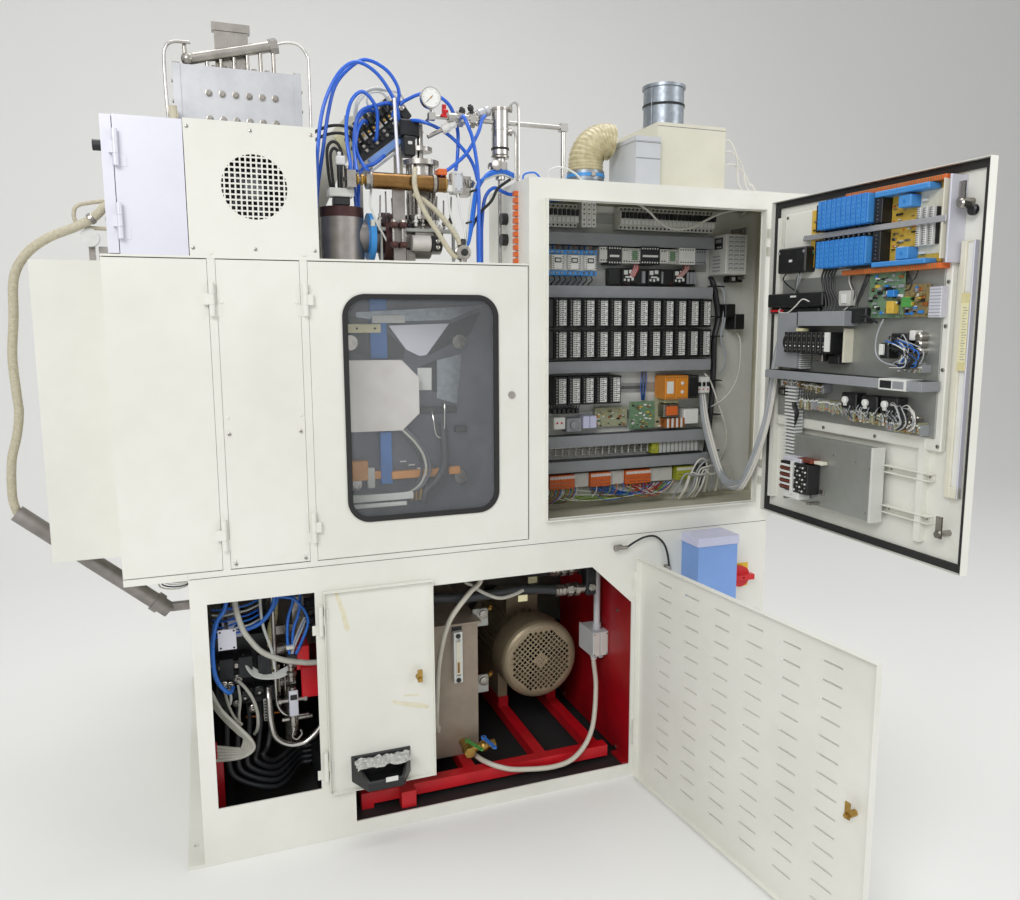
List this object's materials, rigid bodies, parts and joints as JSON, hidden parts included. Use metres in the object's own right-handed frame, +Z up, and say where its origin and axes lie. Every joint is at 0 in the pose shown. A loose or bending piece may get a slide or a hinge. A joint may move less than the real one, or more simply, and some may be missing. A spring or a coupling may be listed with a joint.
{
  "type": "extrusion blow moulding machine",
  "caption": "Extrusion blow moulding machine: red and cream steel base with hydraulics, guarded mould bay with window, extruder gear on top and an open electrical cabinet.",
  "frame": {"origin": "centre of the four anchor holes, on the underside of the base", "axes": "+X along the front, towards the electrical cabinet; +Y from the front to the back; +Z up"},
  "size_m": [2.8199, 2.5649, 2.61],
  "materials": {
    "cream_paint": "satin",
    "red_paint": "gloss",
    "tank_paint": "satin",
    "grey_paint": "satin",
    "blue_paint": "satin",
    "dark_metal": "satin",
    "maroon_steel": "satin",
    "steel": "brushed",
    "platen_steel": "ground",
    "brass": "dull",
    "anodised": "satin",
    "galvanised": "satin",
    "black_rubber": "matt",
    "hose_mesh": "braided",
    "blue_tube": "gloss",
    "cable_grey": "matt",
    "black_plastic": "matt",
    "white_plastic": "satin",
    "yellow_plastic": "gloss",
    "red_plastic": "gloss",
    "green_plastic": "gloss",
    "blue_plastic": "gloss",
    "clear_pane": "clear"
  },
  "bodies": {
    "machine": {"base_body": "cream_paint", "red_subframe": "red_paint", "red_partition": "red_paint", "oil_tank": "tank_paint", "pump_motor": "grey_paint", "motor_cowl": "tank_paint", "hydraulic_pump": "dark_metal", "base_hoses": "black_rubber", "motor_cables": "cable_grey", "valve_manifold": "dark_metal", "blue_box": "blue_paint", "isolator_plate": "yellow_plastic", "probe_cable": "black_rubber", "guard_frame": "cream_paint", "fixed_panel": "cream_paint", "end_hood": "cream_paint", "suction_lance": "steel", "lance_hose": "hose_mesh", "clamp_frame": "blue_paint", "extruder": "steel", "brass_cylinder": "brass", "valve_terminal": "black_plastic", "air_tubes": "blue_tube", "filter_line": "steel", "cover_box": "cream_paint", "drive_motor": "grey_paint", "control_box": "anodised", "bolt_plate": "anodised", "cabinet": "cream_paint", "cabinet_fittings": "galvanised", "cabinet_devices": "white_plastic", "io_modules": "black_plastic", "roof_boxes": "white_plastic", "roof_ducts": "galvanised"},
    "small_door": {"small_door": "cream_paint", "door_tray": "black_plastic"},
    "small_door_lock": {"small_door_lock": "brass"},
    "louvred_door": {"louvred_door": "cream_paint"},
    "louvred_door_lock": {"louvred_door_lock": "brass"},
    "left_door": {"left_door": "cream_paint"},
    "window_door": {"window_door": "cream_paint", "window_seal": "black_rubber", "window_pane": "clear_pane"},
    "window_lock": {"window_lock": "steel"},
    "cabinet_door": {"cabinet_door": "cream_paint", "door_gasket": "black_rubber", "door_equipment": "black_plastic", "relay_rack": "blue_plastic"},
    "upper_latch": {"upper_latch": "steel"},
    "lower_latch": {"lower_latch": "steel"},
    "control_box_door": {"control_box_door": "anodised"},
    "control_knob": {"control_knob": "black_plastic"},
    "isolator_knob": {"isolator_knob": "red_plastic"},
    "motor_fan": {"motor_fan": "dark_metal"},
    "drive_fan": {"drive_fan": "galvanised"},
    "green_lever": {"green_lever": "green_plastic"},
    "blue_lever": {"blue_lever": "blue_plastic"},
    "front_platen": {"front_platen": "platen_steel"},
    "rear_platen": {"rear_platen": "platen_steel"},
    "blow_pin": {"blow_pin": "steel"}
  },
  "joints": [
    {"name": "small_door_hinge", "type": "hinge", "parent": "machine", "child": "small_door", "pos_m": [-0.6535, -0.762, 0.5], "axis": [0, 0, 1], "range_deg": [-180, 0]},
    {"name": "small_door_lock_turn", "type": "hinge", "parent": "small_door", "child": "small_door_lock", "pos_m": [-0.3435, -0.752, 0.52], "axis": [0, -1, 0], "range_deg": [-90, 0]},
    {"name": "louvred_door_hinge", "type": "hinge", "parent": "machine", "child": "louvred_door", "pos_m": [0.4675, -0.762, 0.43], "axis": [0, 0, 1], "range_deg": [-88.5, 30]},
    {"name": "louvred_door_lock_turn", "type": "hinge", "parent": "louvred_door", "child": "louvred_door_lock", "pos_m": [0.5647, -1.75832, 0.419], "axis": [-0.9962, -0.0872, 0], "range_deg": [-90, 0]},
    {"name": "left_door_hinge", "type": "hinge", "parent": "machine", "child": "left_door", "pos_m": [-0.9245, -0.761, 1.4], "axis": [0, 0, 1], "range_deg": [0, 110]},
    {"name": "window_door_hinge", "type": "hinge", "parent": "machine", "child": "window_door", "pos_m": [-0.6625, -0.761, 1.4], "axis": [0, 0, 1], "range_deg": [-110, 0]},
    {"name": "window_lock_turn", "type": "hinge", "parent": "window_door", "child": "window_lock", "pos_m": [-0.0075, -0.754, 1.443], "axis": [0, 1, 0], "range_deg": [0, 90]},
    {"name": "cabinet_door_hinge", "type": "hinge", "parent": "machine", "child": "cabinet_door", "pos_m": [0.9935, -0.785, 1.543], "axis": [0, 0, 1], "range_deg": [-89, 20]},
    {"name": "upper_latch_turn", "type": "hinge", "parent": "cabinet_door", "child": "upper_latch", "pos_m": [0.97889, -1.62187, 1.995], "axis": [-0.9998, 0.0175, 0], "range_deg": [-90, 0]},
    {"name": "lower_latch_turn", "type": "hinge", "parent": "cabinet_door", "child": "lower_latch", "pos_m": [0.97889, -1.62187, 1.091], "axis": [-0.9998, 0.0175, 0], "range_deg": [-90, 0]},
    {"name": "control_box_door_hinge", "type": "hinge", "parent": "machine", "child": "control_box_door", "pos_m": [-1.1495, -0.762, 2.055], "axis": [0, 0, 1], "range_deg": [0, 100]},
    {"name": "control_knob_turn", "type": "hinge", "parent": "control_box_door", "child": "control_knob", "pos_m": [-1.1845, -0.65, 2.174], "axis": [1, 0, 0], "range_deg": [-135, 135]},
    {"name": "isolator_turn", "type": "hinge", "parent": "machine", "child": "isolator_knob", "pos_m": [0.9075, -0.76, 0.725], "axis": [0, 1, 0], "range_deg": [-90, 0]},
    {"name": "motor_fan_spin", "type": "hinge", "parent": "machine", "child": "motor_fan", "pos_m": [0.2445, -0.4, 0.345], "axis": [0, 1, 0], "continuous": true},
    {"name": "drive_fan_spin", "type": "hinge", "parent": "machine", "child": "drive_fan", "pos_m": [-0.7925, -0.71, 2.067], "axis": [0, 1, 0], "continuous": true},
    {"name": "green_lever_turn", "type": "hinge", "parent": "machine", "child": "green_lever", "pos_m": [-0.1325, -0.615, 0.18], "axis": [0, 0, 1], "range_deg": [-90, 0]},
    {"name": "blue_lever_turn", "type": "hinge", "parent": "machine", "child": "blue_lever", "pos_m": [-0.0705, -0.615, 0.18], "axis": [0, 0, 1], "range_deg": [0, 80]},
    {"name": "front_platen_slide", "type": "slide", "parent": "machine", "child": "front_platen", "axis": [0, 1, 0], "range_m": [0, 0.11]},
    {"name": "rear_platen_slide", "type": "slide", "parent": "machine", "child": "rear_platen", "axis": [0, 1, 0], "range_m": [-0.11, 0]},
    {"name": "blow_pin_slide", "type": "slide", "parent": "machine", "child": "blow_pin", "axis": [0, 0, 1], "range_m": [-0.1, 0]}
  ],
  "couplings": [
    {"joint": "rear_platen_slide", "follows": "front_platen_slide", "ratio": -1}
  ]
}
